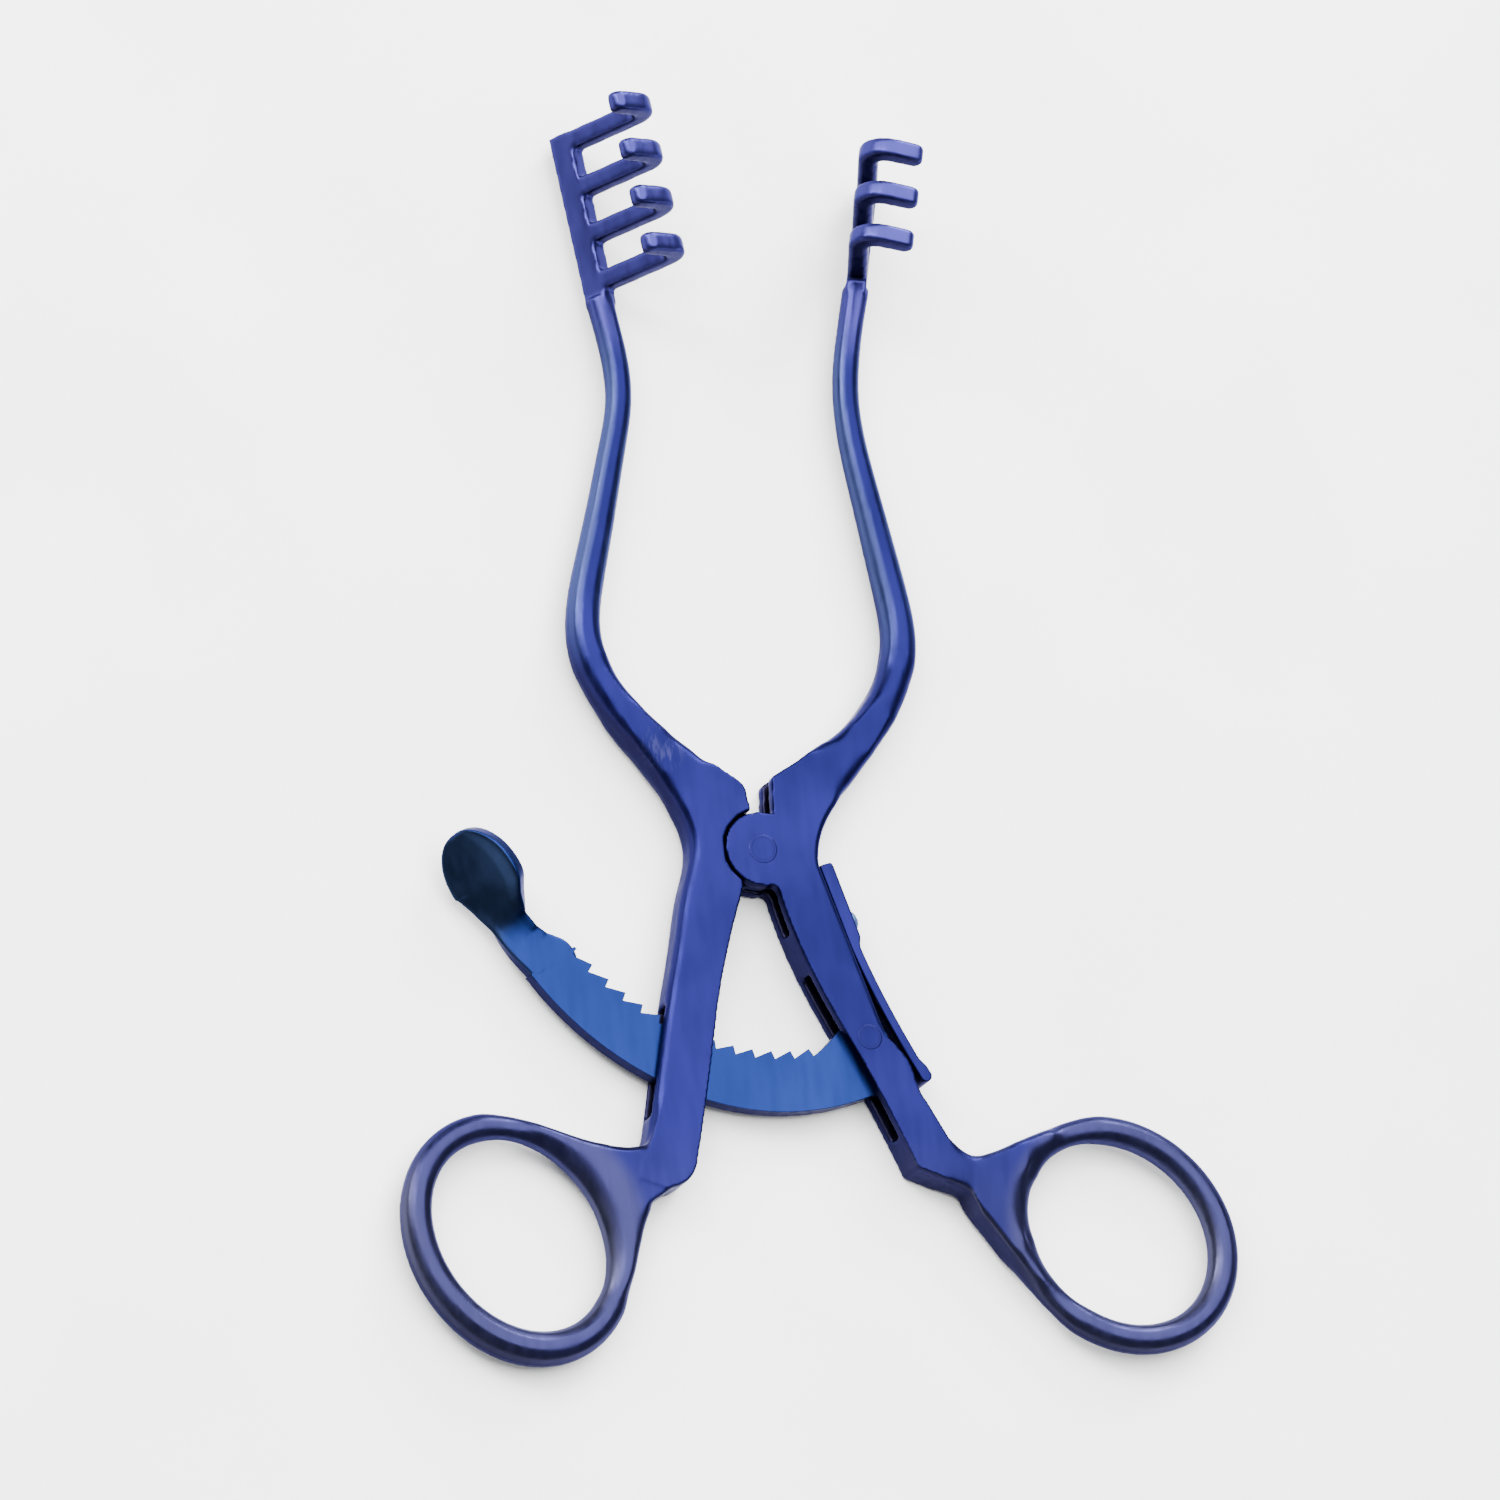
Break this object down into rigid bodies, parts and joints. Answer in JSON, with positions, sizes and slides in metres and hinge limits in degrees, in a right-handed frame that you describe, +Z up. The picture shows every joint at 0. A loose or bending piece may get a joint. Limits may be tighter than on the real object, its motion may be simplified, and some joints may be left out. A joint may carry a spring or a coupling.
{
  "type": "self retaining retractor",
  "caption": "Hinged self retaining wound retractor with two pronged rakes, finger rings and a sprung toothed bar that holds the arms apart.",
  "frame": {"origin": "on the axis of the lock pin, in the plane of the flat back face", "axes": "+Y towards the rakes, +X towards the right arm, +Z up out of the front face; the prongs point up"},
  "size_m": [0.1059, 0.1568, 0.0167],
  "materials": {
    "left_arm": "satin blue violet anodised titanium",
    "right_arm": "satin blue violet anodised titanium",
    "lock_pin": "ground flush and anodised with the arms",
    "ratchet_bar": "satin light blue anodised titanium",
    "ratchet_pin": "ground flush and anodised with the arms",
    "leaf_spring": "satin purple grey anodised titanium",
    "spring_screw": "polished domed head with a straight slot"
  },
  "bodies": {
    "right_arm": {"right_arm": "right_arm", "lock_pin": "lock_pin", "ratchet_pin": "ratchet_pin", "leaf_spring": "leaf_spring", "spring_screw": "spring_screw"},
    "left_arm": {"left_arm": "left_arm"},
    "ratchet_bar": {"ratchet_bar": "ratchet_bar"}
  },
  "joints": [
    {"name": "lock_pivot", "type": "hinge", "parent": "right_arm", "child": "left_arm", "pos_m": [0, 0, 0.0026], "axis": [0, 0, 1], "range_deg": [-16.65, 27.75]},
    {"name": "ratchet_swing", "type": "hinge", "parent": "right_arm", "child": "ratchet_bar", "pos_m": [0.01096, -0.02364, 0.0026], "axis": [0, 0, 1], "range_deg": [-2.6, 6], "stiffness_Nm_per_rad": 0.01, "springref_deg": -2.86, "deforming": ["leaf_spring"]}
  ]
}
